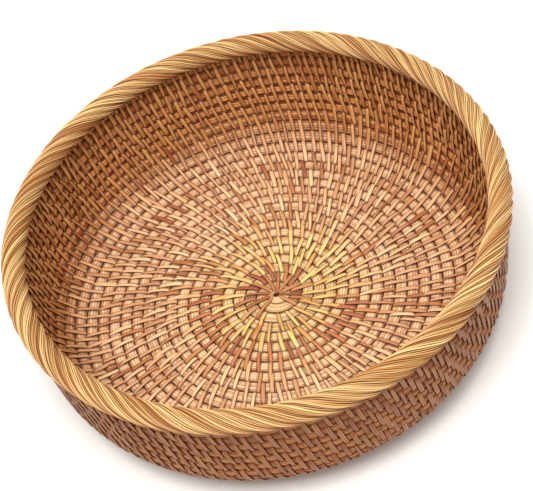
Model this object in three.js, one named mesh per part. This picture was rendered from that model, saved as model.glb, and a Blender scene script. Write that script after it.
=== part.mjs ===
// A round coiled rattan tray: one long coil, stitched round by round into a flat
// floor and a low upright wall, and closed by a thick wrapped rim roll.
// Millimetres, +Z up, origin at the centre of the underside.
import * as THREE from 'three';

// Driving dimensions
const outerDiameter = 250;
const rollRadius = 6.15;
const rollCentreHeight = 70;
const coreRadius = 3;
const coilThickness = 4.8;
const floorPitch = 6.05;
const wallPitch = 6.25;
const coilStartRadius = 1.73;
const flatFloorRadius = 90.5;
const cornerRadius = 27.5;
const wallAngle = THREE.MathUtils.degToRad(86);
const wallTopHeight = 63.5;
const knotRadius = 1.35;
const pieceGap = 0.3;

// Rounds of the coil and bundles of the rim
const floorRounds = 15;
const cornerRounds = 6;
const wallRounds = 6;
const taperRunOut = 0.76;
const wrapBundles = 24;
const wrapAdvance = 33;

// Facets
const firstRoundSteps = 12;
const innerRoundSteps = 24;
const outerRoundSteps = 36;
const lastInnerRound = 6;
const rollSides = 8;
const stepsPerBundle = 3;
const coreSteps = 36;

const fullTurn = 2 * Math.PI;
const halfThickness = coilThickness / 2;
const rollCentreRadius = outerDiameter / 2 - rollRadius;
const wrapHoleRadius = coreRadius + 2 * pieceGap;
const cornerArc = cornerRadius * wallAngle;
const cornerRise = cornerRadius * (1 - Math.cos(wallAngle));
const wallLength = (wallTopHeight - halfThickness - cornerRise) / Math.sin(wallAngle);
const topArc = flatFloorRadius + cornerArc + wallLength;
const totalRounds = floorRounds + cornerRounds + wallRounds;

const floorFinish = new THREE.MeshStandardMaterial({ color: 0xc99a62, roughness: 0.55, metalness: 0 });
const wallFinish = new THREE.MeshStandardMaterial({ color: 0xa86c3e, roughness: 0.6, metalness: 0 });
const rimFinish = new THREE.MeshStandardMaterial({ color: 0xdcae68, roughness: 0.45, metalness: 0 });
const coreFinish = new THREE.MeshStandardMaterial({ color: 0xb98a52, roughness: 0.7, metalness: 0 });

// The middle of the basket's wall as a path from the centre outwards: flat floor,
// round corner, then a nearly upright wall. The side vector points into the bowl.
function wallPath(arc) {
  const bend = THREE.MathUtils.clamp((arc - flatFloorRadius) / cornerRadius, 0, wallAngle);
  const beyond = Math.max(0, arc - flatFloorRadius - cornerArc);
  const flat = Math.min(arc, flatFloorRadius);
  return {
    radius: flat + cornerRadius * Math.sin(bend) + beyond * Math.cos(wallAngle),
    height: halfThickness + cornerRadius * (1 - Math.cos(bend)) + beyond * Math.sin(wallAngle),
    side: new THREE.Vector2(-Math.sin(bend), Math.cos(bend)),
  };
}

// How far along that path the coil has grown after a number of rounds.
function seamArc(rounds) {
  const roundsToCorner = (flatFloorRadius - coilStartRadius) / floorPitch;
  const inFloor = Math.min(rounds, roundsToCorner);
  const inWall = Math.max(0, rounds - roundsToCorner);
  return coilStartRadius + floorPitch * inFloor + wallPitch * inWall;
}

// A closed solid from a list of equal rings of points, with or without end caps.
function skin(rings, closesOnItself) {
  const sides = rings[0].length;
  const corners = rings.flat();
  const faces = [];
  const spans = closesOnItself ? rings.length : rings.length - 1;
  for (let i = 0; i < spans; i += 1) {
    const here = i * sides;
    const next = ((i + 1) % rings.length) * sides;
    for (let j = 0; j < sides; j += 1) {
      const k = (j + 1) % sides;
      faces.push(here + j, next + k, here + k);
      faces.push(here + j, next + j, next + k);
    }
  }
  if (!closesOnItself) {
    const last = (rings.length - 1) * sides;
    for (let j = 1; j < sides - 1; j += 1) {
      faces.push(0, j, j + 1);
      faces.push(last, last + j + 1, last + j);
    }
  }
  return solid(corners, faces);
}

function solid(corners, faces) {
  const geometry = new THREE.BufferGeometry();
  geometry.setFromPoints(corners);
  geometry.setIndex(faces);
  return geometry;
}

function onCircle(radius, height, angle) {
  return new THREE.Vector3(radius * Math.cos(angle), radius * Math.sin(angle), height);
}

// Four corners of the coil, foundation and binder together, where it has grown to
// a number of rounds. The top round thins out under the roll.
function coilSection(rounds, angle) {
  const lowArc = seamArc(rounds) + pieceGap / 2;
  const highArc = Math.min(seamArc(rounds + 1), topArc) - pieceGap / 2;
  const corner = (arc, offset) => {
    const path = wallPath(arc);
    return onCircle(path.radius + offset * path.side.x, path.height + offset * path.side.y, angle);
  };
  return [
    corner(lowArc, -halfThickness),
    corner(highArc, -halfThickness),
    corner(highArc, halfThickness),
    corner(lowArc, halfThickness),
  ];
}

// One round of the coil with the binder strip that sews it to the round before.
// It is cut from the next round by a small gap at the angle where rounds begin.
function coilRound(round) {
  let steps = outerRoundSteps;
  if (round < lastInnerRound) steps = innerRoundSteps;
  if (round === 0) steps = firstRoundSteps;
  const isTop = round === totalRounds - 1;
  const lastStep = isTop ? Math.round(steps * taperRunOut) : steps;
  const meanRadius = wallPath(seamArc(round + 0.5)).radius;
  const endCut = pieceGap / 2 / meanRadius / fullTurn;
  const rings = [];
  for (let i = 0; i <= lastStep; i += 1) {
    let part = i / steps;
    if (i === 0) part += endCut;
    if (i === lastStep) part -= endCut;
    rings.push(coilSection(round + part, part * fullTurn));
  }
  return skin(rings, false);
}

// The tight start of the foundation, in the eye of the coil.
function startKnot() {
  const height = coilThickness - pieceGap;
  const knot = new THREE.CylinderGeometry(knotRadius, knotRadius, height, rollSides);
  knot.rotateX(Math.PI / 2);
  knot.translate(0, 0, height / 2 + pieceGap / 2);
  return knot;
}

// A ring of the roll whose points lie ahead at the outer edge and behind at the
// inner edge, as the wrapping strips do where they cross the roll.
function slantedRing(radius, angle, slant) {
  const ring = [];
  for (let j = 0; j < rollSides; j += 1) {
    const around = (j / rollSides) * fullTurn;
    const reach = rollCentreRadius + radius * Math.cos(around);
    const height = rollCentreHeight + radius * Math.sin(around);
    ring.push(onCircle(reach, height, angle + slant * Math.cos(around)));
  }
  return ring;
}

// The hoop inside the roll.
function rimCore() {
  const rings = [];
  for (let i = 0; i < coreSteps; i += 1) {
    rings.push(slantedRing(coreRadius, (i / coreSteps) * fullTurn, 0));
  }
  return skin(rings, true);
}

// One group of strips wound side by side over the hoop.
function wrapBundle(index) {
  const width = fullTurn / wrapBundles;
  const lean = Math.atan(wrapAdvance / 2 / rollRadius);
  const endCut = pieceGap / 2 / Math.cos(lean) / rollCentreRadius;
  const slant = wrapAdvance / 2 / rollCentreRadius;
  const outside = [];
  const inside = [];
  for (let i = 0; i <= stepsPerBundle; i += 1) {
    let angle = (index + i / stepsPerBundle) * width;
    if (i === 0) angle += endCut;
    if (i === stepsPerBundle) angle -= endCut;
    outside.push(slantedRing(rollRadius, angle, slant));
    inside.push(slantedRing(wrapHoleRadius, angle, slant));
  }
  const corners = [...outside.flat(), ...inside.flat()];
  const inner = outside.length * rollSides;
  const last = stepsPerBundle * rollSides;
  const faces = [];
  const square = (a, b, c, d) => faces.push(a, c, b, a, d, c);
  for (let j = 0; j < rollSides; j += 1) {
    const k = (j + 1) % rollSides;
    for (let here = 0; here < last; here += rollSides) {
      const next = here + rollSides;
      square(here + j, here + k, next + k, next + j);
      square(inner + here + k, inner + here + j, inner + next + j, inner + next + k);
    }
    square(j, inner + j, inner + k, k);
    square(last + j, last + k, inner + last + k, inner + last + j);
  }
  return solid(corners, faces);
}

const tray = new THREE.Group();

function addPiece(name, geometry, finish) {
  const mesh = new THREE.Mesh(geometry, finish.clone());
  mesh.name = name;
  tray.add(mesh);
}

const numbered = (word, index) => `${word}_${String(index + 1).padStart(2, '0')}`;

addPiece('start_knot', startKnot(), floorFinish);
for (let i = 0; i < floorRounds; i += 1) {
  addPiece(numbered('floor_round', i), coilRound(i), floorFinish);
}
for (let i = 0; i < cornerRounds; i += 1) {
  addPiece(numbered('corner_round', i), coilRound(floorRounds + i), wallFinish);
}
for (let i = 0; i < wallRounds; i += 1) {
  addPiece(numbered('wall_round', i), coilRound(floorRounds + cornerRounds + i), wallFinish);
}
addPiece('rim_core', rimCore(), coreFinish);
for (let i = 0; i < wrapBundles; i += 1) {
  addPiece(numbered('rim_wrap', i), wrapBundle(i), rimFinish);
}

export default tray;
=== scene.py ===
import math

import bpy
import numpy as np
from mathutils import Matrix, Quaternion, Vector


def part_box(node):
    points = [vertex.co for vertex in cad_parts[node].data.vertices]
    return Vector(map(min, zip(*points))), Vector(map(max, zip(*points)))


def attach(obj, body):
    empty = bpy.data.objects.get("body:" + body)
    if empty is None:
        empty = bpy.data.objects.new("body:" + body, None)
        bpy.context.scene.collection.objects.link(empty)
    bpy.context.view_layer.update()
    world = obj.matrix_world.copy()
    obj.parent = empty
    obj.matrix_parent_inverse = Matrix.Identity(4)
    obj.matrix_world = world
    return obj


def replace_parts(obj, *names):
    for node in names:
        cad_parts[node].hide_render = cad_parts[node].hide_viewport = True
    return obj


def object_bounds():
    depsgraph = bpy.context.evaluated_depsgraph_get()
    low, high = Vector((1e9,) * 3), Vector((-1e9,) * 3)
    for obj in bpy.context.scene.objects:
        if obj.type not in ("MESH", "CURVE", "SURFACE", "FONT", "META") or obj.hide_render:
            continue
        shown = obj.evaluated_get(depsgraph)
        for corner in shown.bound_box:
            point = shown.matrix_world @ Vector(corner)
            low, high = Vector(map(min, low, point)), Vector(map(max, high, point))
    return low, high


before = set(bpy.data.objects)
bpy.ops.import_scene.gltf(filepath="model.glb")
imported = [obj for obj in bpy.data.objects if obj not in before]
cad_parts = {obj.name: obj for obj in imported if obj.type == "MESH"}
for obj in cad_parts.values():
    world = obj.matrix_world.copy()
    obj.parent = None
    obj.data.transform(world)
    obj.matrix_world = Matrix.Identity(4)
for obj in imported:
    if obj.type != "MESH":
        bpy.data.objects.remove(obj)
cadLow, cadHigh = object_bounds()
print("frame loaded,", len(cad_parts), "nodes")

millimetre = 0.001
fullTurn = 2 * math.pi
chance = np.random.default_rng(27)

# the coil as it is in the frame
bowl = {
    "outerRadius": 125 * millimetre,
    "eyeRadius": 1.73 * millimetre,
    "floorPitch": 6.05 * millimetre,
    "wallPitch": 6.25 * millimetre,
    "flatRadius": 90.5 * millimetre,
    "cornerRadius": 27.5 * millimetre,
    "wallAngle": math.radians(86),
    "wallFrom": 92 * millimetre,    # along the coil, where the floor's look gives way
    "wallTo": 104 * millimetre,     # and where the wall's look is complete
    "topHeight": 63.5 * millimetre,
    "floorRounds": 15,
    "cornerRounds": 6,
    "rounds": 27,
    "tuck": 3.1 * millimetre,       # how far the last round reaches up inside the roll
    "runOut": 27.45,                # turns, where the coil has thinned out under the hoop
}
coilHeights = [point.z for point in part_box("floor_round_05")]
middleHeight = sum(coilHeights) / 2
cornerArc = bowl["cornerRadius"] * bowl["wallAngle"]
cornerRise = bowl["cornerRadius"] * (1 - math.cos(bowl["wallAngle"]))
wallLength = (bowl["topHeight"] - middleHeight - cornerRise) / math.sin(bowl["wallAngle"])
topArc = bowl["flatRadius"] + cornerArc + wallLength + bowl["tuck"]

rollHeights = [point.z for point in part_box("rim_wrap_01")]
rollRadius = (rollHeights[1] - rollHeights[0]) / 2
rollHeight = sum(rollHeights) / 2
rollReach = bowl["outerRadius"] - rollRadius


# camera

camera = {
    "place": (0, -448.5 * millimetre, 557.1 * millimetre),
    "aim": (2.5 * millimetre, 0, 42.7 * millimetre),
    "roll": -16.7,           # degrees
    "viewAngle": 21.95,      # degrees across the picture
}


def standCamera():
    lens = bpy.data.cameras.new("camera")
    lens.sensor_fit = "HORIZONTAL"
    lens.angle = math.radians(camera["viewAngle"])
    stand = bpy.data.objects.new("camera", lens)
    look = Vector(camera["aim"]) - Vector(camera["place"])
    roll = Quaternion((0, 0, 1), math.radians(camera["roll"]))
    stand.rotation_mode = "QUATERNION"
    stand.rotation_quaternion = look.to_track_quat("-Z", "Y") @ roll
    stand.location = camera["place"]
    bpy.context.scene.collection.objects.link(stand)
    bpy.context.scene.camera = stand


standCamera()
print("camera placed")


# places on the bowl: arc runs from the centre over the floor and up the wall,
# lift is square to the weave and positive inside the bowl

def wallMiddle(arc):
    # radius and height of the weave's middle, then the way lift points there
    bend = np.clip((arc - bowl["flatRadius"]) / bowl["cornerRadius"], 0, bowl["wallAngle"])
    beyond = np.maximum(0, arc - bowl["flatRadius"] - cornerArc)
    flat = np.minimum(arc, bowl["flatRadius"])
    radius = flat + bowl["cornerRadius"] * np.sin(bend) + beyond * math.cos(bowl["wallAngle"])
    rise = bowl["cornerRadius"] * (1 - np.cos(bend)) + beyond * math.sin(bowl["wallAngle"])
    return radius, middleHeight + rise, -np.sin(bend), np.cos(bend)


def onBowl(arc, angle, lift):
    radius, height, inward, upward = wallMiddle(arc)
    reach = radius + lift * inward
    return np.stack([reach * np.cos(angle), reach * np.sin(angle), height + lift * upward], axis=-1)


def seamArc(turns):
    turnsToCorner = (bowl["flatRadius"] - bowl["eyeRadius"]) / bowl["floorPitch"]
    onFloor = bowl["floorPitch"] * np.minimum(turns, turnsToCorner)
    onWall = bowl["wallPitch"] * np.maximum(0, turns - turnsToCorner)
    return bowl["eyeRadius"] + onFloor + onWall


def smooth(value, low, high):
    share = np.clip((value - low) / (high - low), 0, 1)
    return share * share * (3 - 2 * share)


def wallShare(arc):
    return smooth(arc, bowl["wallFrom"], bowl["wallTo"])


def unit(vectors):
    return vectors / np.maximum(np.linalg.norm(vectors, axis=-1, keepdims=True), 1e-12)


# meshes: a strip is a row of sections, each a ring of corners

def sweep(path, outward, halfWidth, thickness, outline):
    travel = unit(np.gradient(path, axis=0))
    across = unit(np.cross(travel, outward))
    normal = np.cross(across, travel)
    sideways = np.array([corner[0] for corner in outline])
    upwards = np.array([corner[1] for corner in outline])
    wide = across[:, None, :] * sideways[None, :, None] * halfWidth[:, None, None]
    thick = normal[:, None, :] * upwards[None, :, None] * thickness[:, None, None]
    return path[:, None, :] + wide + thick


def pathLength(path):
    steps = np.linalg.norm(np.diff(path, axis=0), axis=1)
    return np.concatenate([[0], np.cumsum(steps)])


# what the finishes read at each corner: fibre says where on the strip it is, lot says
# how its cane is coloured, and the shade mark how much painted shade it gets where it lies deep

def fibreMarks(along, across, which):
    rows, corners = len(along), len(across)
    marks = np.empty((rows, corners, 3))
    marks[:, :, 0] = along[:, None]
    marks[:, :, 1] = np.array(across)[None, :]
    marks[:, :, 2] = which
    return marks


def lotMarks(tone, brown, red, corners):
    marks = np.stack(np.broadcast_arrays(tone, brown, red), axis=-1)
    return np.repeat(marks[:, None, :], corners, axis=1)


def makePiece(name, strips, fibres, lots, shadeMarks, finish, slot):
    mesh = bpy.data.meshes.new(name)
    points = np.concatenate([rings.reshape(-1, 3) for rings in strips])
    loops, sizes, start = [], [], 0
    for rings in strips:
        count, corners = rings.shape[:2]
        index = start + np.arange(count * corners).reshape(count, corners)
        beside = np.roll(index, -1, axis=1)
        quads = np.stack([index[:-1], beside[:-1], beside[1:], index[1:]], axis=-1)
        loops += [quads.ravel(), index[0][::-1], index[-1]]
        sizes += [np.full((count - 1) * corners, 4), np.array([corners, corners])]
        start += count * corners
    loops = np.concatenate(loops)
    sizes = np.concatenate(sizes)
    starts = np.concatenate([[0], np.cumsum(sizes)[:-1]])
    mesh.vertices.add(len(points))
    mesh.vertices.foreach_set("co", points.ravel())
    mesh.loops.add(len(loops))
    mesh.loops.foreach_set("vertex_index", loops)
    mesh.polygons.add(len(sizes))
    mesh.polygons.foreach_set("loop_start", starts)
    mesh.polygons.foreach_set("use_smooth", np.ones(len(sizes), bool))
    mesh.update(calc_edges=True)
    mesh.validate()
    for mark, rows in (("fibre", fibres), ("lot", lots)):
        values = np.concatenate([row.reshape(-1, 3) for row in rows])
        layer = mesh.attributes.new(mark, "FLOAT_VECTOR", "POINT")
        layer.data.foreach_set("vector", values.astype(np.float32).ravel())
    shadeDepths = np.concatenate([row.ravel() for row in shadeMarks])
    layer = mesh.attributes.new("shadeMark", "FLOAT", "POINT")
    layer.data.foreach_set("value", shadeDepths.astype(np.float32))
    mesh.materials.append(finish)
    piece = bpy.data.objects.new(name, mesh)
    bpy.context.scene.collection.objects.link(piece)
    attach(piece, "root")
    return piece


# finishes

class Wire:
    # one socket of a material, used in sums as a number is

    def __init__(self, tree, socket=None):
        self.tree = tree
        self.socket = socket

    def put(self, kind, settings=None, inputs=None, output=0):
        node = self.tree.nodes.new(kind)
        for key, value in (settings or {}).items():
            setattr(node, key, value)
        for key, value in (inputs or {}).items():
            if isinstance(value, Wire):
                self.tree.links.new(value.socket, node.inputs[key])
            else:
                node.inputs[key].default_value = value
        return Wire(self.tree, node.outputs[output])

    def finish(self, surface):
        end = self.tree.nodes.new("ShaderNodeOutputMaterial")
        self.tree.links.new(surface.socket, end.inputs["Surface"])

    def maths(self, operation, *values):
        return self.put("ShaderNodeMath", {"operation": operation}, dict(enumerate(values)))

    def __add__(self, other):
        return self.maths("ADD", self, other)

    def __sub__(self, other):
        return self.maths("SUBTRACT", self, other)

    def __rsub__(self, other):
        return self.maths("SUBTRACT", other, self)

    def __mul__(self, other):
        return self.maths("MULTIPLY", self, other)

    __radd__ = __add__
    __rmul__ = __mul__

    def size(self):
        return self.maths("ABSOLUTE", self)

    def root(self):
        return self.maths("SQRT", self)

    def between(self, low, high):
        inputs = {"Value": self, "From Min": low, "From Max": high}
        return self.put("ShaderNodeMapRange", {"interpolation_type": "SMOOTHSTEP"}, inputs)

    def sides(self, vector, letters):
        kind = "ShaderNodeSeparateXYZ"
        return [self.put(kind, None, {"Vector": vector}, output=letter) for letter in letters]

    def grain(self, across, which, detail=3.0):
        # fibres: a noise stretched along the strip
        place = self.put("ShaderNodeCombineXYZ", None, {"X": self, "Y": across, "Z": which})
        inputs = {"Vector": place, "Scale": 1.0, "Detail": detail, "Roughness": 0.6}
        return self.put("ShaderNodeTexNoise", None, inputs)

    def blend(self, first, second):
        inputs = {"Factor": self, 6: first, 7: second}
        return self.put("ShaderNodeMix", {"data_type": "RGBA"}, inputs, output=2)


def dye(code):
    shares = [int(code[i:i + 2], 16) / 255 for i in (0, 2, 4)]
    linear = [s / 12.92 if s <= 0.04045 else ((s + 0.055) / 1.055) ** 2.4 for s in shares]
    return (*linear, 1.0)


# what all the cane finishes share
cane = {
    "heartRadius": 24 * millimetre,      # the golden first bobbins reach out to here
    "heartFade": 62 * millimetre,
    "blotchesAcross": 0.4,
    "flecksAcross": 0.9,
    "fleckFrom": 0.66,
    "fleckTo": 0.74,
    "smokedFrom": 0.1,
    "smokedTo": 0.9,
    "roughnessSwing": 0.35,
    "fibreDepth": 0.3 * millimetre,
    "coatRoughness": 0.3,
}


def caneFinish(name, look):
    finish = bpy.data.materials.new(name)
    finish.use_nodes = True
    tree = finish.node_tree
    tree.nodes.clear()
    wire = Wire(tree)
    fibre = wire.put("ShaderNodeAttribute", {"attribute_name": "fibre"}, output="Vector")
    lot = wire.put("ShaderNodeAttribute", {"attribute_name": "lot"}, output="Vector")
    shadeMark = wire.put("ShaderNodeAttribute", {"attribute_name": "shadeMark"}, output="Fac")
    along, across, which = wire.sides(fibre, "XYZ")
    tone, brown, red = wire.sides(lot, "XYZ")
    # the numbers added to which only keep the three noises apart
    streaks = (along * look["streakRate"]).grain(across * look["streaksAcross"], which * 7.3)
    blotches = (along * look["blotchRate"]).grain(across * cane["blotchesAcross"], which * 3.1 + 5.0, 2.0)
    flecks = (along * look["fleckRate"]).grain(across * cane["flecksAcross"], which * 5.7 + 11.0, 1.0)
    depth = tone + (streaks - 0.5) * look["streakShare"] + (blotches - 0.5) * look["blotchShare"]
    place = wire.put("ShaderNodeTexCoord", None, None, output="Object")
    x, y = wire.sides(place, "XY")
    outer = (x * x + y * y).root().between(cane["heartRadius"], cane["heartFade"])
    shade = depth.between(0.0, 1.0)
    inner = shade.blend(dye(look.get("gold", look["pale"])), dye(look.get("amber", look["deep"])))
    colour = outer.blend(inner, shade.blend(dye(look["pale"]), dye(look["deep"])))
    smoked = depth.between(cane["smokedFrom"], cane["smokedTo"])
    colour = brown.blend(colour, smoked.blend(dye(look["smoked"]), dye(look["dark"])))
    colour = red.blend(colour, shade.blend(dye(look["russet"]), dye(look["wine"])))
    # painted shade down the sides of each strip, where it rounds away; the flecks below use the same dark
    # colour
    edgeShade = across.size().between(look["edgeFrom"], look["edgeTo"])
    edges = edgeShade * look["edgeShadeShare"]
    spots = flecks.between(cane["fleckFrom"], cane["fleckTo"]) * look["fleckShare"]
    colour = edges.blend(colour, dye(look["edge"]))
    colour = spots.blend(colour, dye(look["edge"]))
    # painted shade in the seams and crevices and where strips dive, mixed in as a dark brown
    colour = (shadeMark * look["shadeMarkShare"]).blend(colour, dye(look["paintedShade"]))
    bumpInputs = {"Strength": look["bump"], "Distance": cane["fibreDepth"], "Height": streaks}
    inputs = {
        "Base Color": colour,
        "Roughness": look["roughness"] + (streaks - 0.5) * cane["roughnessSwing"],
        "Normal": wire.put("ShaderNodeBump", None, bumpInputs),
        "Specular IOR Level": look["shine"],
        "Coat Weight": (1 - shadeMark) * (1 - edgeShade) * look["coat"],
        "Coat Roughness": cane["coatRoughness"],
    }
    surface = wire.put("ShaderNodeBsdfPrincipled", None, inputs)
    wire.finish(surface)
    return finish


# where the cane turns brown, in millimetres along the coil
browning = {
    "from": 96,
    "to": 118,
    "wave": 3,
    "waveSide": 0.7,                # angle, in radians
}


def brownShare(arc, angle):
    wave = browning["wave"] * np.sin(2 * angle + browning["waveSide"])
    return smooth(arc / millimetre + wave, browning["from"], browning["to"])


# stitches: where each one crosses, and the strips that make them

stitching = {
    "spacing": 8.9 * millimetre,
    "leastSpacing": 0.35,           # share of the spacing, closer stitches are left out
    "mostSpacing": 12.0 * millimetre,
    "scatter": 0.5 * millimetre,
    "overrun": 0.02,                # turns planned beyond the end of the coil
    "firstStitches": 12,
    "firstTurn": 0.856,
    "firstInnerEnd": 1.7 * millimetre,
    "bareTurns": (1.62, 1.86),      # the fan at the eye shows here
    "lean": 10.4,                   # degrees, forward from the inner to the outer end
    "leanSwing": 5.4,
    "leanSide": math.radians(80),
    "drift": 0.56,                  # how much of the lean the next round's stitches keep
    "wallLean": 0.6,                # times the lean on the floor
    "wallTurns": (14, 19),
    "tiltScatter": 0.065,
    "straightTurns": 2,             # the first stitches run nearly straight out
    "straightTilt": 0.3,
    "halfWidth": 1.1 * millimetre,
    "widthScatter": 0.14,
    "slimTurns": 1.9,
    "slimWidth": 0.92,
    "seamWidth": 0.75,              # times as wide where a stitch dips into a seam
    "backWidth": 1.02,              # times as wide on the outside, where they lie flatter
    "crowding": 0.24,               # most width for the room round the eye
    "thickness": 0.6 * millimetre,
    "rise": 1.62 * millimetre,
    "fullness": 2.6,                # 2 is an ellipse, more is squarer
    "backFullness": 4.0,
    "backLean": 2.5 * millimetre,
    "clearance": 0.12 * millimetre,
    "overTop": 0.2 * millimetre,
    "swingOver": 0.6,               # share of the rise in which the front's slope becomes the back's
    "seamFullness": 0.5,
    "backFrom": 0.4,
    "centreRoom": 0.4 * millimetre,
}


def leanAt(turns):
    swing = stitching["leanSwing"] * np.cos(turns * fullTurn - stitching["leanSide"])
    upWall = 1 - (1 - stitching["wallLean"]) * smooth(turns, *stitching["wallTurns"])
    return np.tan(np.radians(stitching["lean"] + swing)) * upWall


def planStitches():
    # each stitch goes between two of the round before, moved on by their lean
    first = stitching["firstTurn"]
    turns = [first + i / stitching["firstStitches"] for i in range(stitching["firstStitches"])]
    oldest = 0
    while turns[-1] < bowl["runOut"] + stitching["overrun"]:
        before, after = turns[oldest], turns[oldest + 1]
        reach = wallMiddle(seamArc(after + 1))[0] * fullTurn
        lean = stitching["drift"] * leanAt(after) * (seamArc(after + 1) - seamArc(after))
        place = (before + after) / 2 + 1 + lean / reach
        place += chance.normal(0, stitching["scatter"]) / reach
        gap = (place - turns[-1]) * reach
        if gap > stitching["leastSpacing"] * stitching["spacing"]:
            if gap > stitching["mostSpacing"]:
                turns.append(turns[-1] + (place - turns[-1]) * 0.5)
            turns.append(place)
        oldest += 1
    return np.array(turns)


stitchTurns = planStitches()
stitchTurns = stitchTurns[stitchTurns < bowl["runOut"]]
bareFrom, bareTo = stitching["bareTurns"]
stitchTurns = stitchTurns[(stitchTurns < bareFrom) | (stitchTurns > bareTo)]
stitchSteps = np.append(np.diff(stitchTurns), stitchTurns[-1] - stitchTurns[-2])
stitchTilt = leanAt(stitchTurns) + chance.normal(0, stitching["tiltScatter"], len(stitchTurns))
stitchTilt[stitchTurns <= stitching["straightTurns"]] *= stitching["straightTilt"]
stitchWidth = 1 + chance.normal(0, stitching["widthScatter"], len(stitchTurns))
stitchWidth *= stitching["halfWidth"]
stitchWidth[stitchTurns < stitching["slimTurns"]] *= stitching["slimWidth"]
print("stitches planned,", len(stitchTurns))


def stitchSpan(turns):
    inner = stitching["firstInnerEnd"] if turns < bareFrom else seamArc(turns - 1)
    outer = min(seamArc(turns + 1), topArc + stitching["overTop"])
    return inner, outer


binder = {
    "pale": "f4c896", "deep": "bc7844", "gold": "f4cc80", "amber": "c27a34",
    "smoked": "d3985f", "dark": "945026", "russet": "c0744a", "wine": "86422a",
    "edge": "642202", "paintedShade": "561c02",
    "streakRate": 90.0, "streaksAcross": 2.6, "blotchRate": 45.0, "fleckRate": 260.0,
    "streakShare": 0.75, "blotchShare": 0.6, "edgeFrom": 0.58, "edgeTo": 1.0, "edgeShadeShare": 0.85,
    "fleckShare": 0.5, "shadeMarkShare": 0.92,
    "roughness": 0.45, "bump": 0.5, "shine": 0.2, "coat": 0.15,
    "tone": 0.42,
    "toneScatter": 0.19,
    "wallToneScatter": 0.12,
    "bobbinScatter": 0.1,
    "backTone": 0.34,               # duller and more even behind
    "backToneSwing": 0.5,
    "fibreRange": 60,               # lengths of fibre pattern to start from
    "tuckFrom": 0.05,               # share of the rise, from painted shade in the seam to clear of it
    "tuckTo": 0.55,
    "outsideShade": 0.36,             # how dark the painted shade on the outside of the wall gets
    "outsideShadeRise": 0.3,
    "curl": 0.8,                    # painted shade down the middle of a stroke there, as if the strip curled
    "curlFrom": 0.1,
    "curlTo": 0.6,
}
binderFinish = caneFinish("binder_cane", binder)
binderOutline = [(-0.8, 0), (-1, 0.4), (-0.62, 0.86), (0, 1), (0.62, 0.86), (1, 0.4), (0.8, 0)]

# round one stitch, from the inner seam over the front to the outer seam and back behind
seamSteps = np.radians([180, 173])
frontSteps = np.radians(np.arange(165, 14, -15))
backSteps = np.radians([-6, -16, -30, -50, -76, -104, -130, -150, -164, -174])
loopSteps = np.concatenate([seamSteps, frontSteps, np.radians([7, 0]), backSteps])


def stitchLoop(index, spacing):
    turns = stitchTurns[index]
    inner, outer = stitchSpan(turns)
    middle = (inner + outer) / 2
    reach = (outer - inner) / 2 - stitching["clearance"]
    radius = wallMiddle(middle)[0]
    cosine, sine = np.cos(loopSteps), np.sin(loopSteps)
    power = np.where(sine < 0, 2 / stitching["backFullness"], 2 / stitching["fullness"])
    arc = middle + reach * np.sign(cosine) * np.abs(cosine) ** power
    lift = stitching["rise"] * np.sign(sine) * np.abs(sine) ** power
    # the front stroke leans with the stitch, the back one carries the strip on to the next
    front = stitchTilt[index] * 2 * reach / radius
    back = stitching["backLean"] / radius
    half = spacing / 2
    along = (arc - middle) / reach / 2
    arriving = (cosine < 0) & (sine >= 0)
    leaving = (cosine < 0) & (sine < 0)
    onFront = np.where(leaving, 2 * half - front / 2, front * along)
    onBack = np.where(arriving, back / 2 - half, half - back * along)
    swing = stitching["swingOver"]
    share = smooth(lift / stitching["rise"], -swing, swing)
    angle = turns * fullTurn + onFront * share + onBack * (1 - share)
    seam = stitching["seamWidth"]
    width = stitchWidth[index] * (seam + (1 - seam) * np.abs(sine) ** stitching["seamFullness"])
    width *= 1 + (stitching["backWidth"] - 1) * smooth(-sine, 0, stitching["backFrom"])
    roomy = wallMiddle(np.maximum(arc, stitching["centreRoom"]))[0] * stitching["crowding"]
    return arc, angle, lift, np.minimum(width, roomy)


def stitchRuns(members):
    # the strip is cut where the next stitch is too far off
    runs, run = [], []
    for index in members:
        radius = wallMiddle(seamArc(stitchTurns[index]))[0]
        step = stitchSteps[index] * fullTurn
        wide = step * radius > 2 * stitching["mostSpacing"]
        run.append(stitchLoop(index, stitching["spacing"] / radius if wide else step))
        if wide:
            runs.append(run)
            run = []
    return runs + [run] if run else runs


def awayFromCoil(arc, angle, cosine, sine):
    # the side of the strip that shows: up inside, down outside, level in the seams
    inward, upward = wallMiddle(arc)[2:]
    edge = np.sign(cosine) * np.abs(cosine) ** 1.6
    face = np.sign(sine) * np.abs(sine) ** 0.8
    reach = edge * upward + face * inward
    rise = -edge * inward + face * upward
    return np.stack([reach * np.cos(angle), reach * np.sin(angle), rise], axis=-1)


redBobbins = {
    "nearEye": 0.85,
    "nearEyeTurns": (2.3, 2.9),
    "band": 0.95,
    "bandFrom": (5.2, 5.5),
    "bandTo": (6.9, 7.3),
    "bandSide": 2.6,                # angle, in radians
    "bandFade": (-0.75, 0.1),
    "further": 0.25,
    "furtherSwing": 0.2,
    "furtherRate": 2.3,
    "furtherTurns": (8.5, 10.0),
    "scatter": 0.14,
}


def binderRedness(turns):
    # redder bobbins near the eye, in one band round the floor and now and then further out
    red = redBobbins
    side = np.sin(turns * fullTurn - red["bandSide"])
    nearEye = red["nearEye"] * (1 - smooth(turns, *red["nearEyeTurns"]))
    inBand = smooth(turns, *red["bandFrom"]) * (1 - smooth(turns, *red["bandTo"]))
    band = red["band"] * inBand * smooth(side, *red["bandFade"])
    swing = red["further"] + red["furtherSwing"] * np.sin(turns * red["furtherRate"])
    further = smooth(turns, *red["furtherTurns"]) * swing
    share = nearEye + band + further + chance.normal(0, red["scatter"], len(turns))
    return np.clip(share, 0, 1)


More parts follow.
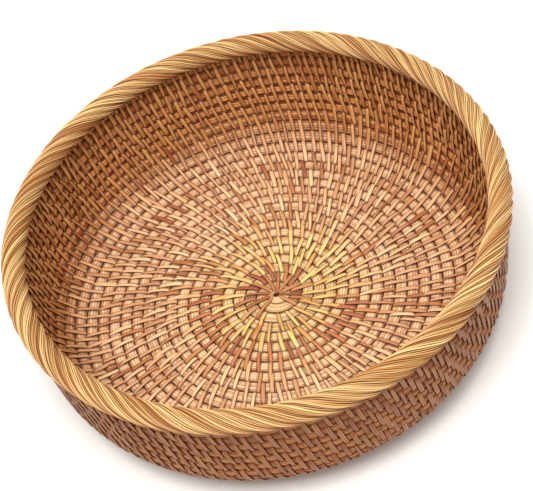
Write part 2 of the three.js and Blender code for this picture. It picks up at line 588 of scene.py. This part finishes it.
def makeBinder(number):
    final = bowl["runOut"] if number == bowl["rounds"] - 1 else number + 1
    members = np.nonzero((stitchTurns >= number) & (stitchTurns < final))[0]
    if len(members) == 0:
        return None
    strips, fibres, lots, shadeMarks = [], [], [], []
    across = np.array([corner[0] for corner in binderOutline])
    curl = 1 - smooth(np.abs(across), binder["curlFrom"], binder["curlTo"])
    onWall = number >= bowl["floorRounds"]
    scatter = binder["wallToneScatter"] if onWall else binder["toneScatter"]
    for run in stitchRuns(members):
        arc, angle, lift, width = [np.concatenate(row) for row in zip(*run)]
        path = onBowl(arc, angle, lift)
        count = len(loopSteps)
        cosine = np.tile(np.cos(loopSteps), len(run))
        sine = np.tile(np.sin(loopSteps), len(run))
        outward = awayFromCoil(arc, angle, cosine, sine)
        thickness = np.full(len(path), stitching["thickness"])
        strips.append(sweep(path, outward, width, thickness, binderOutline))
        fibres.append(fibreMarks(pathLength(path), across, chance.uniform(0, binder["fibreRange"])))
        each = np.repeat(chance.normal(0, scatter, len(run)), count)
        tone = np.clip(binder["tone"] + each + chance.normal(0, binder["bobbinScatter"]), 0, 1)
        tone = np.where(sine < 0, binder["backToneSwing"] * tone + binder["backTone"], tone)
        brown = brownShare(arc, angle)
        red = np.repeat(binderRedness(angle[::count] / fullTurn), count)
        lots.append(lotMarks(tone, brown, red * (1 - brown), len(across)))
        # painted shade where the strip dives into a seam, on the outside of the wall, and down the middle
        # of the strokes there
        tucked = 1 - smooth(np.abs(sine), binder["tuckFrom"], binder["tuckTo"])
        outsideShaded = smooth(-sine, 0, binder["outsideShadeRise"]) * wallShare(arc)
        shaded = np.maximum(tucked, binder["outsideShade"] * outsideShaded)
        paintedShade = binder["curl"] * outsideShaded[:, None] * curl[None, :]
        shadeMarks.append(np.maximum(shaded[:, None], paintedShade))
    name = f"binder_{number + 1:02d}"
    return makePiece(name, strips, fibres, lots, shadeMarks, binderFinish, "binder")


def roundNode(number):
    corner = number - bowl["floorRounds"]
    wall = corner - bowl["cornerRounds"]
    if corner < 0:
        return f"floor_round_{number + 1:02d}"
    if wall < 0:
        return f"corner_round_{corner + 1:02d}"
    return f"wall_round_{wall + 1:02d}"


for number in range(bowl["rounds"]):
    piece = makeBinder(number)
    if piece:
        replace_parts(piece, roundNode(number))
print("binder sewn")


# foundation: four strands side by side, pinched where a stitch crosses

foundation = {
    "pale": "f0c79c", "deep": "c48656", "gold": "f0d09c", "amber": "c88f54",
    "smoked": "d8945a", "dark": "8a481e", "russet": "c08a60", "wine": "9a5c40",
    "edge": "6c2c08", "paintedShade": "561c02",
    "streakRate": 60.0, "streaksAcross": 2.2, "blotchRate": 30.0, "fleckRate": 200.0,
    "streakShare": 0.7, "blotchShare": 0.55, "edgeFrom": 0.55, "edgeTo": 1.0, "edgeShadeShare": 0.25,
    "fleckShare": 0.35, "shadeMarkShare": 0.92,
    "roughness": 0.5, "bump": 0.5, "shine": 0.15, "coat": 0.1,
    "strands": 4,
    "step": 1.15 * millimetre,
    "fewestSteps": 24,
    "halfThickness": 1.72 * millimetre,
    "gap": 0.03 * millimetre,
    "strandFill": 0.99,             # share of its room that a strand takes
    "sideWander": 0.07 * millimetre,
    "heightWander": 0.08 * millimetre,
    "crownFall": 0.36,              # how much lower the outer strands lie
    "wallCrownFall": 0.16,          # and how much more on the wall
    "pinch": 0.36,
    "pinchWidth": 0.015,
    "pinchReach": 1.8 * millimetre,
    "eyePinch": 0.4,                # share of the pinch that is left in the eye
    "eyeFrom": 3 * millimetre,
    "eyeTo": 9 * millimetre,
    "browning": 8 * millimetre,     # how much later than the binder it turns brown
    # painted shade on the outside of the coil up the wall
    "outsideShade": 0.5,
    "toneFrom": 0.1,
    "toneTo": 0.75,
    "runOutHalf": 0.45 * millimetre,    # strands narrower than this lie lower
    "runOutLeast": 0.3,
    "flankFrom": 0.9,               # share of the way out, where the coil's flanks begin
    "flankHeight": 0.5,
    "seamFrom": 0.6,                # where the painted shade in the seams begins, and how much sooner on the wall
    "wallSeam": 0.22,
    "seamTo": 0.97,
    # painted shade where a stitch presses the strands
    "pressedFrom": 0.35,
    "pressedTo": 0.9,
    "pressedShade": 0.9,
    "leastRadius": 1.5 * millimetre,
}
foundationFinish = caneFinish("foundation_cane", foundation)
strandOutline = [
    (-0.99, 0.88), (-0.45, 0.99), (0.45, 0.99), (0.99, 0.88),
    (0.99, -0.88), (0.45, -0.99), (-0.45, -0.99), (-0.99, -0.88),
]
strandPhase = chance.uniform(0, fullTurn, (8, 6))


def wander(strand, length):
    # a slow drift of each strand, the same on both sides of a joint between rounds
    waves = [9.0 * millimetre, 17.0 * millimetre, 41.0 * millimetre]
    phases = strandPhase[strand]
    drift = sum(np.sin(length / wave * fullTurn + phases[k]) for k, wave in enumerate(waves))
    return drift / len(waves)


def pinchAt(turns, radius, behind):
    # how hard the stitches on this coil's two seams press here, on the front or behind
    crossings = (stitchTurns[1:] + stitchTurns[:-1]) / 2 if behind else stitchTurns
    pinch = np.zeros(len(turns))
    for offset in (0.0, 1.0):
        seam = turns + offset
        lean = leanAt(seam) * bowl["floorPitch"] / 2
        if behind:
            lean = -stitching["backLean"] / 4
        lean = lean / (radius * fullTurn)
        centre = seam + (lean if offset else -lean)
        place = np.searchsorted(crossings, centre)
        for side in (-1, 0):
            near = crossings[np.clip(place + side, 0, len(crossings) - 1)]
            away = (centre - near) * fullTurn * radius / foundation["pinchReach"]
            pinch = np.maximum(pinch, np.exp(-away * away))
    beyondEye = smooth(radius, foundation["eyeFrom"], foundation["eyeTo"])
    return pinch * (foundation["eyePinch"] + (1 - foundation["eyePinch"]) * beyondEye)


def strandTones(count):
    return chance.uniform(foundation["toneFrom"], foundation["toneTo"], count)


def layStrands(turns, low, high, strands, first, tones):
    arc = (low + high) / 2
    radius = np.maximum(wallMiddle(arc)[0], foundation["leastRadius"])
    pinches = [pinchAt(turns, radius, behind) for behind in (False, True)]
    angle = turns * fullTurn
    length = np.concatenate([[0], np.cumsum(np.diff(turns) * fullTurn * radius[1:])])
    narrow = 1 - foundation["pinchWidth"] * pinches[0]
    half = (high - low) / strands / 2 * narrow * foundation["strandFill"]
    # a strand that runs out gets lower as it gets narrower
    lowered = np.maximum(half / foundation["runOutHalf"], foundation["runOutLeast"])
    highest = foundation["halfThickness"] * lowered
    onWall = wallShare(arc)
    seamFrom = foundation["seamFrom"] - foundation["wallSeam"] * onWall
    across = [side for side, lift in strandOutline]
    strips, fibres, lots, shadeMarks = [], [], [], []
    for k in range(strands):
        share = (k + 0.5) / strands
        drift = wander(first + k, length + turns[0] * 0.1)
        middle = arc + (share - 0.5) * (high - low) * narrow + foundation["sideWander"] * drift
        fall = foundation["crownFall"] + foundation["wallCrownFall"] * onWall
        crown = 1 - fall * (2 * share - 1) ** 2
        rough = foundation["heightWander"] * wander(first + (k + 2) % strands, length * 1.3)
        ups = []
        for pinch in pinches:
            up = foundation["halfThickness"] * crown * (1 - foundation["pinch"] * pinch)
            ups.append(np.minimum(up + rough, highest))
        rings = []
        shadeDepths = []
        for side, lift in strandOutline:
            behind = int(lift < 0)
            edge = abs(2 * share - 1 + side / strands)
            slope = foundation["flankHeight"] if edge > foundation["flankFrom"] else 1
            rings.append(onBowl(middle + side * half, angle, lift * ups[behind] * slope))
            # painted shade in the seams between rows, where stitches press, and on the outside of the
            # wall
            seam = smooth(edge, seamFrom, foundation["seamTo"])
            pressed = smooth(pinches[behind], foundation["pressedFrom"], foundation["pressedTo"])
            outsideShaded = foundation["outsideShade"] * behind * onWall
            shadeDepths.append(np.maximum(np.maximum(seam, foundation["pressedShade"] * pressed), outsideShaded))
        strips.append(np.stack(rings, axis=1))
        shadeMarks.append(np.stack(shadeDepths, axis=1))
        fibres.append(fibreMarks(length, across, float(first + k) + turns[0]))
        brown = brownShare(arc - foundation["browning"], angle)
        lots.append(lotMarks(tones[k] + 0 * angle, brown, 0 * angle, len(across)))
    return strips, fibres, lots, shadeMarks


def makeFoundation(number):
    last = bowl["runOut"] if number == bowl["rounds"] - 1 else number + 1
    middle = wallMiddle(seamArc(number + 0.5))[0]
    steps = int((last - number) * fullTurn * middle / foundation["step"])
    turns = np.linspace(number, last, max(foundation["fewestSteps"], steps) + 1)
    low = seamArc(turns) + foundation["gap"]
    high = np.minimum(seamArc(turns + 1), topArc) - foundation["gap"]
    count = foundation["strands"]
    strands = layStrands(turns, low, high, count, 0, strandTones(count))
    return makePiece(f"foundation_{number + 1:02d}", *strands, foundationFinish, "foundation")


for number in range(bowl["rounds"]):
    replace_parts(makeFoundation(number), roundNode(number))
print("foundation coiled")


# eye: the first end of the foundation, and what is turned down through the hole

eye = {
    "fanTurns": (0.1, 0.995),
    "fanSteps": 60,
    "fanFrom": 1.3 * millimetre,
    "fanOver": 0.15 * millimetre,
    "endTurns": 2.2,
    "endRadius": 1.15 * millimetre,
    "endClosing": 0.36 * millimetre,    # each turn
    "endLow": -1.5 * millimetre,
    "endRise": 0.35 * millimetre,       # each turn
    "endHalfWidth": 0.42 * millimetre,
    "endThickness": 1.2 * millimetre,
    "endTone": 0.9,
    "endFibre": 3.0,
    "fanTone": 0.5,                 # times the tones of other strands
}


def makeStartFan():
    # spread from the eye out to where the coil has come round
    turns = np.linspace(*eye["fanTurns"], eye["fanSteps"])
    low = np.full(len(turns), eye["fanFrom"])
    high = seamArc(turns) + eye["fanOver"]
    count = foundation["strands"]
    strands = layStrands(turns, low, high, count, count, strandTones(count) * eye["fanTone"])
    return makePiece("start_fan", *strands, foundationFinish, "foundation")


def makeStartKnot():
    # the strand ends wind down through the eye
    turns = np.linspace(0, eye["endTurns"], eye["fanSteps"])
    radius = eye["endRadius"] - eye["endClosing"] * turns
    angle = turns * fullTurn
    height = middleHeight + eye["endLow"] + eye["endRise"] * turns
    path = np.stack([radius * np.cos(angle), radius * np.sin(angle), height], axis=-1)
    outward = np.tile([0.0, 0.0, 1.0], (len(path), 1))
    halfWidth = np.full(len(path), eye["endHalfWidth"])
    thickness = np.full(len(path), eye["endThickness"])
    strip = sweep(path, outward, halfWidth, thickness, binderOutline)
    across = [corner[0] for corner in binderOutline]
    fibres = fibreMarks(pathLength(path), across, eye["endFibre"])
    lots = lotMarks(np.full(len(path), eye["endTone"]), 1.0, 0.0, len(across))
    # painted shade all along, for the end lies down in the eye
    shadeMarks = np.ones((len(path), len(across)))
    return makePiece("start_knot_end", [strip], [fibres], [lots], [shadeMarks], binderFinish, "foundation")


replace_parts(makeStartFan(), "start_knot")
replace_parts(makeStartKnot(), "start_knot")
print("eye closed")


# rim: bundles of narrow strips wound slantwise over the hoop

rim = {
    "pale": "eac584", "deep": "b87a3e", "smoked": "aa6e42", "dark": "804224",
    "russet": "c88652", "wine": "945630", "edge": "582406", "paintedShade": "401402",
    "streakRate": 40.0, "streaksAcross": 1.8, "blotchRate": 22.0, "fleckRate": 120.0,
    "streakShare": 0.6, "blotchShare": 0.5, "edgeFrom": 0.58, "edgeTo": 1.0, "edgeShadeShare": 0.92,
    "fleckShare": 0.15, "shadeMarkShare": 0.95,
    "roughness": 0.42, "bump": 0.35, "shine": 0.12, "coat": 0.3,
    "pieces": 24,
    "stripsPerBundle": 5,
    "partFrom": 0.5,                # strip widths, against each other
    "partTo": 1.6,
    "fills": [0.97, 0.92, 0.84],    # share of its room that a strip takes
    "fillOdds": [0.4, 0.35, 0.25],
    "advance": 10.5 * millimetre,   # along the rim for each radian round the roll
    "startTurn": math.radians(-150),
    "thickness": 0.85 * millimetre,
    "thinnest": 0.8,
    "dome": 1.2 * millimetre,       # how much higher a bundle's middle lies than its sides
    "dive": 1.4 * millimetre,       # how deep a bundle's ends go where they close up
    "spread": 0.5,                  # width of a closed bundle's end
    "from": math.radians(-80),      # round the roll, from its outermost line over the top
    "to": math.radians(262),
    "steps": 32,
    "tone": 0.4,
    "bundleScatter": 0.12,
    "toneScatter": 0.26,
    "brown": 0.75,
    "brownOuter": (50, -70),        # degrees round the roll, from clear to brown
    "brownInner": (125, 205),
    "brownSwing": (0.3, 1.2),
    "red": 0.15,
    "redScatter": 0.35,
    "opens": (-52, 18),             # degrees round the roll
    "closes": (178, 240),
    "evening": 0.6,                 # how much of the stitches' unevenness the bundles keep
    "mostShade": 0.9,
    "flankShade": (0.2, 0.95),
    "fibreRange": 60,
}
rimFinish = caneFinish("rim_cane", rim)
rimOutline = [(-0.85, 0), (-1, 0.15), (-0.6, 0.82), (0, 1), (0.6, 0.82), (1, 0.15), (0.85, 0)]


def bundleEdges():
    # a bundle goes in beside each stitch of the last round, evened out a little
    edges = (stitchTurns[stitchTurns > bowl["runOut"] - 1] % 1) * fullTurn
    edges = np.sort(edges)
    spacing = fullTurn / len(edges)
    even = edges[0] + spacing * np.arange(len(edges))
    return even + rim["evening"] * (edges - even - np.mean(edges - even))


def alongRoll(around, span):
    return smooth(around, math.radians(span[0]), math.radians(span[1]))


def rimStrip(start, width, share, part):
    around = np.linspace(rim["from"], rim["to"], rim["steps"])
    opening = alongRoll(around, rim["opens"]) * (1 - alongRoll(around, rim["closes"]))
    spread = rim["spread"] + (1 - rim["spread"]) * opening
    side = 2 * share - 1
    inner = rollRadius - rim["thickness"] - rim["dome"] * side ** 2 - rim["dive"] * (1 - spread)
    turned = rim["startTurn"] - (around - math.pi / 2)
    angle = start + width * (0.5 + side / 2 * spread) + rim["advance"] / rollReach * turned
    reach = rollReach + inner * np.cos(around)
    height = rollHeight + inner * np.sin(around)
    path = np.stack([reach * np.cos(angle), reach * np.sin(angle), height], axis=-1)
    flat = np.cos(around)
    outward = np.stack([flat * np.cos(angle), flat * np.sin(angle), np.sin(around)], axis=-1)
    slant = math.atan2(1, rim["advance"] / rollRadius)
    half = width * rollReach * part / 2 * math.sin(slant) * spread
    return around, path, outward, half, 1 - spread


def makeRimStrips():
    edges = bundleEdges()
    bundles = len(edges)
    last = rim["stripsPerBundle"] - 1
    groups = {}
    across = np.array([corner[0] for corner in rimOutline])
    for b in range(bundles):
        start = edges[b]
        width = (edges[(b + 1) % bundles] - start) % fullTurn
        group = int(b * rim["pieces"] / bundles)
        strips, fibres, lots, shadeMarks = groups.setdefault(group, ([], [], [], []))
        bundleTone = chance.normal(0, rim["bundleScatter"])
        parts = chance.uniform(rim["partFrom"], rim["partTo"], rim["stripsPerBundle"])
        parts /= parts.sum()
        for k in range(rim["stripsPerBundle"]):
            share = parts[:k].sum() + parts[k] / 2
            around, path, outward, half, closed = rimStrip(start, width, share, parts[k])
            thickness = np.full(len(path), rim["thickness"] * chance.uniform(rim["thinnest"], 1.0))
            fibres.append(fibreMarks(pathLength(path), across, chance.uniform(0, rim["fibreRange"])))
            tone = rim["tone"] + bundleTone + chance.normal(0, rim["toneScatter"])
            half = half * chance.choice(rim["fills"], p=rim["fillOdds"])
            strips.append(sweep(path, outward, half, thickness, rimOutline))
            # painted shade where the ends go under and down the outer flanks of the bundle
            buried = np.clip(1.7 * closed - 0.1, 0, rim["mostShade"])
            facing = int(k == last) - int(k == 0)
            shaded = smooth(across * facing, *rim["flankShade"])
            shadeMarks.append(np.maximum(buried[:, None], shaded[None, :]))
            # browner low down, on both sides
            low = alongRoll(around, rim["brownOuter"]) + alongRoll(around, rim["brownInner"])
            brown = np.clip(low * rim["brown"] * chance.uniform(*rim["brownSwing"]), 0, 1)
            red = np.clip(chance.normal(rim["red"], rim["redScatter"]), 0, rim["mostShade"])
            lots.append(lotMarks(np.clip(tone, 0, 1) + 0 * around, brown, red, len(across)))
    for group, strands in groups.items():
        piece = makePiece(f"rim_strips_{group + 1:02d}", *strands, rimFinish, "rim_wrap")
        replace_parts(piece, f"rim_wrap_{group + 1:02d}")
    return bundles


print("rim wound,", makeRimStrips(), "bundles")


# hoop inside the roll

hoop = {
    "pale": "7a4a26",
    "deep": "a8713f",
    "grainScale": 900.0,
    "bump": 0.4,
    "bumpDepth": 0.2 * millimetre,
    "roughness": 0.55,
    "roughnessSwing": 0.3,
}


def hoopFinish():
    finish = bpy.data.materials.new("hoop_cane")
    finish.use_nodes = True
    tree = finish.node_tree
    tree.nodes.clear()
    wire = Wire(tree)
    place = wire.put("ShaderNodeTexCoord", None, None, output="Object")
    grainInputs = {"Vector": place, "Scale": hoop["grainScale"], "Detail": 4.0}
    grain = wire.put("ShaderNodeTexNoise", None, grainInputs)
    bumpInputs = {"Strength": hoop["bump"], "Distance": hoop["bumpDepth"], "Height": grain}
    inputs = {
        "Base Color": grain.between(0.3, 0.7).blend(dye(hoop["pale"]), dye(hoop["deep"])),
        "Roughness": hoop["roughness"] + (grain - 0.5) * hoop["roughnessSwing"],
        "Normal": wire.put("ShaderNodeBump", None, bumpInputs),
    }
    surface = wire.put("ShaderNodeBsdfPrincipled", None, inputs)
    wire.finish(surface)
    return finish


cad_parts["rim_core"].material_slots[0].material = hoopFinish()
print("hoop finished")


# floor and light

studio = {
    "floorWidth": 8.0,
    "floorColour": "f2f0ec",
    "floorRoughness": 0.9,
    "skyColour": "ffffff",
    "skyStrength": 0.72,
    "keyPlace": (-0.1, -0.4, 1.3),
    "keySize": 0.7,
    "keyPower": 19.0,
}


def layFloor():
    half = studio["floorWidth"] / 2
    corners = [(-half, -half, 0), (half, -half, 0), (half, half, 0), (-half, half, 0)]
    mesh = bpy.data.meshes.new("floor")
    mesh.from_pydata(corners, [], [(0, 1, 2, 3)])
    finish = bpy.data.materials.new("floor_paper")
    finish.use_nodes = True
    shader = finish.node_tree.nodes["Principled BSDF"]
    shader.inputs["Base Color"].default_value = dye(studio["floorColour"])
    shader.inputs["Roughness"].default_value = studio["floorRoughness"]
    mesh.materials.append(finish)
    floor = bpy.data.objects.new("floor", mesh)
    floor.location.z = cadLow.z
    bpy.context.scene.collection.objects.link(floor)


def hangLights():
    world = bpy.data.worlds.new("studio")
    world.use_nodes = True
    sky = world.node_tree.nodes["Background"]
    sky.inputs["Color"].default_value = dye(studio["skyColour"])
    sky.inputs["Strength"].default_value = studio["skyStrength"]
    bpy.context.scene.world = world
    lamp = bpy.data.lights.new("key", "AREA")
    lamp.size = studio["keySize"]
    lamp.energy = studio["keyPower"]
    key = bpy.data.objects.new("key", lamp)
    key.location = studio["keyPlace"]
    key.rotation_euler = (-Vector(studio["keyPlace"])).to_track_quat("-Z", "Y").to_euler()
    bpy.context.scene.collection.objects.link(key)


layFloor()
hangLights()
bpy.context.scene.view_settings.view_transform = "Standard"
print("studio set")
